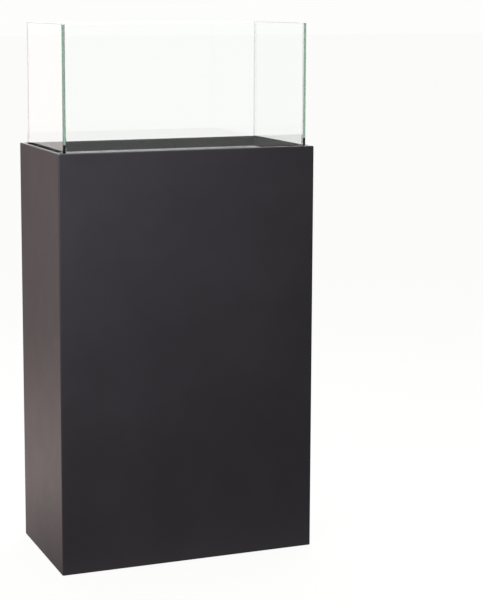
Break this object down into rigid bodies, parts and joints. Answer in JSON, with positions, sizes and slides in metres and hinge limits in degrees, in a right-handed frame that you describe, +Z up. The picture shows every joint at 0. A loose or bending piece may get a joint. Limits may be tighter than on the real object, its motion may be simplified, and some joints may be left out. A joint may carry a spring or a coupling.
{
  "type": "outdoor gas fire column",
  "caption": "Free-standing box-shaped outdoor gas heater: folded steel column with a flame tray in its top, four frameless glass panes around the flames and a rear bottle bay.",
  "frame": {"origin": "middle of the footprint, on the floor under the feet", "axes": "+Z up, +X to the right seen from the front, -Y out of the plain front face; the door and the controls face +Y"},
  "size_m": [0.6, 0.32, 1.213],
  "materials": {
    "housing_paint": "satin anthracite powder coat",
    "inner_paint": "matt dark grey heat-resistant paint",
    "zinc_plate": "bright zinc plate",
    "glass": "clear toughened float glass, green in its edges",
    "seat_rubber": "black silicone",
    "tray_steel": "brushed stainless steel, matt from the heat",
    "stainless": "brushed stainless steel",
    "brass": "turned brass",
    "cast_alloy": "die-cast and drawn aluminium",
    "black_plastic": "moulded black plastic",
    "nylon": "natural nylon",
    "ceramic": "unglazed white ceramic",
    "lead_sheath": "heat-resistant sleeve"
  },
  "bodies": {
    "housing": {"base_plate": "inner_paint", "bottle_ring": "inner_paint", "burner_brackets": "stainless", "burner_end_caps": "stainless", "burner_tray": "tray_steel", "burner_tube": "stainless", "control_recess": "housing_paint", "countersunk_screws": "zinc_plate", "foot_front_left": "black_plastic", "foot_front_right": "black_plastic", "foot_rear_left": "black_plastic", "foot_rear_right": "black_plastic", "gas_pipe": "cast_alloy", "gas_pipe_nuts": "brass", "gas_valve_body": "cast_alloy", "glass_channel": "inner_paint", "glass_seat_strip": "seat_rubber", "heat_shield": "zinc_plate", "housing_shell": "housing_paint", "igniter_body": "black_plastic", "igniter_nut": "zinc_plate", "ignition_lead": "lead_sheath", "injector": "brass", "injector_bracket": "zinc_plate", "injector_holder": "brass", "inlet_nipple": "brass", "knob_bezel": "stainless", "latch_keeper": "inner_paint", "lower_pivot_bracket": "inner_paint", "lower_pivot_pin": "zinc_plate", "pan_head_screws": "zinc_plate", "rear_rails": "inner_paint", "rear_upper_panel": "housing_paint", "shield_spacers": "zinc_plate", "spark_electrode": "ceramic", "thermocouple": "stainless", "thermocouple_lead": "lead_sheath", "tray_support_left": "inner_paint", "tray_support_right": "inner_paint", "tray_surround": "inner_paint", "upper_pivot_bracket": "inner_paint", "upper_pivot_pin": "zinc_plate", "valve_nut": "zinc_plate", "venturi_tube": "cast_alloy"},
    "door": {"rear_door": "housing_paint", "upper_door_bush": "nylon", "lower_door_bush": "nylon", "latch_cup": "black_plastic"},
    "latch": {"latch_knob": "black_plastic", "latch_cam": "zinc_plate", "latch_nut": "zinc_plate"},
    "plunger": {"valve_plunger": "brass"},
    "knob": {"control_knob": "black_plastic", "valve_spindle": "brass"},
    "igniter": {"igniter_button": "black_plastic"},
    "shutter": {"air_shutter": "cast_alloy"},
    "pane_front": {"glass_front": "glass"},
    "pane_back": {"glass_back": "glass"},
    "pane_left": {"glass_left": "glass"},
    "pane_right": {"glass_right": "glass"}
  },
  "joints": [
    {"name": "door_hinge", "type": "hinge", "parent": "housing", "child": "door", "pos_m": [-0.262, 0.152, 0.345], "axis": [0, 0, 1], "range_deg": [0, 95]},
    {"name": "latch_turn", "type": "hinge", "parent": "door", "child": "latch", "pos_m": [0.24, 0.15, 0.35], "axis": [0, 1, 0], "range_deg": [0, 90]},
    {"name": "valve_push", "type": "slide", "parent": "housing", "child": "plunger", "axis": [0, -1, 0], "range_m": [0, 0.004], "stiffness_N_per_m": 900},
    {"name": "knob_turn", "type": "hinge", "parent": "plunger", "child": "knob", "pos_m": [-0.055, 0.14, 0.758], "axis": [0, 1, 0], "range_deg": [0, 210]},
    {"name": "igniter_push", "type": "slide", "parent": "housing", "child": "igniter", "axis": [0, -1, 0], "range_m": [0, 0.006], "stiffness_N_per_m": 1200},
    {"name": "air_shutter_turn", "type": "hinge", "parent": "housing", "child": "shutter", "pos_m": [0, 0, 0.783], "axis": [0, 0, 1], "range_deg": [0, 45]},
    {"name": "front_pane_lift", "type": "slide", "parent": "housing", "child": "pane_front", "axis": [0, 0, 1], "range_m": [0, 0.31]},
    {"name": "back_pane_lift", "type": "slide", "parent": "housing", "child": "pane_back", "axis": [0, 0, 1], "range_m": [0, 0.31]},
    {"name": "left_pane_lift", "type": "slide", "parent": "housing", "child": "pane_left", "axis": [0, 0, 1], "range_m": [0, 0.31]},
    {"name": "right_pane_lift", "type": "slide", "parent": "housing", "child": "pane_right", "axis": [0, 0, 1], "range_m": [0, 0.31]}
  ]
}
